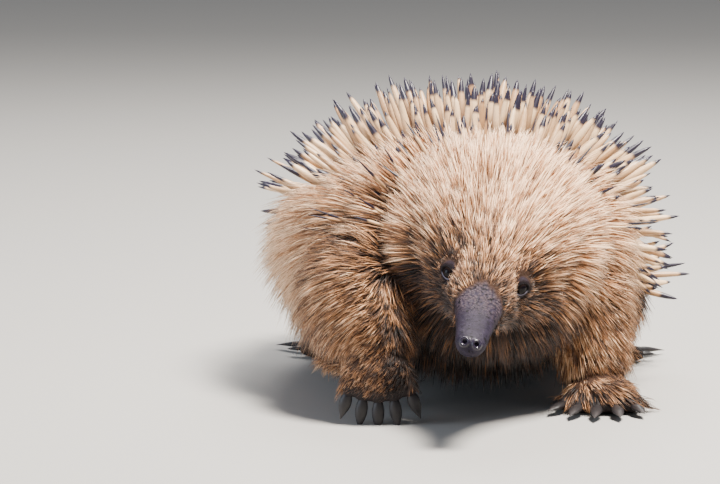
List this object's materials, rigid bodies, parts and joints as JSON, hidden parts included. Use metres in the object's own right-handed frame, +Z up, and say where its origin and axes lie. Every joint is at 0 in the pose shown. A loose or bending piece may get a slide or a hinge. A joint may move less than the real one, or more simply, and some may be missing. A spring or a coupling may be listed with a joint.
{
  "type": "echidna model",
  "caption": "Life-size still model of a walking echidna: low head with a tube beak, long pale coat with spines over back and flanks, and clawed feet.",
  "frame": {"origin": "middle of the model's box at floor level, with the soles on the floor", "axes": "+Z up, -Y the way the animal walks, +X its left side"},
  "size_m": [0.2634, 0.4142, 0.1941],
  "materials": {
    "coat": "long pale fur with cream, dark-tipped spines",
    "skin": "short-haired grey-brown skin",
    "beak": "smooth slate-grey skin with a faint sheen",
    "claw": "dark horn, worn at the tips",
    "eye": "wet black eye"
  },
  "bodies": {
    "root": {"head": "coat", "beak": "beak", "eye_left": "eye", "eye_right": "eye", "ear_left": "skin", "ear_right": "skin", "neck": "coat", "torso": "coat", "tail": "coat", "foreleg_left": "coat", "foreleg_right": "coat", "hindleg_left": "coat", "hindleg_right": "coat", "forefoot_right": "skin", "forefoot_right_claw_1": "claw", "forefoot_right_claw_2": "claw", "forefoot_right_claw_3": "claw", "forefoot_right_claw_4": "claw", "forefoot_right_claw_5": "claw", "forefoot_left": "skin", "forefoot_left_claw_1": "claw", "forefoot_left_claw_2": "claw", "forefoot_left_claw_3": "claw", "forefoot_left_claw_4": "claw", "forefoot_left_claw_5": "claw", "hindfoot_right": "skin", "hindfoot_right_claw_1": "claw", "hindfoot_right_claw_2": "claw", "hindfoot_right_claw_3": "claw", "hindfoot_right_claw_4": "claw", "hindfoot_right_claw_5": "claw", "hindfoot_left": "skin", "hindfoot_left_claw_1": "claw", "hindfoot_left_claw_2": "claw", "hindfoot_left_claw_3": "claw", "hindfoot_left_claw_4": "claw", "hindfoot_left_claw_5": "claw"}
  },
  "joints": []
}
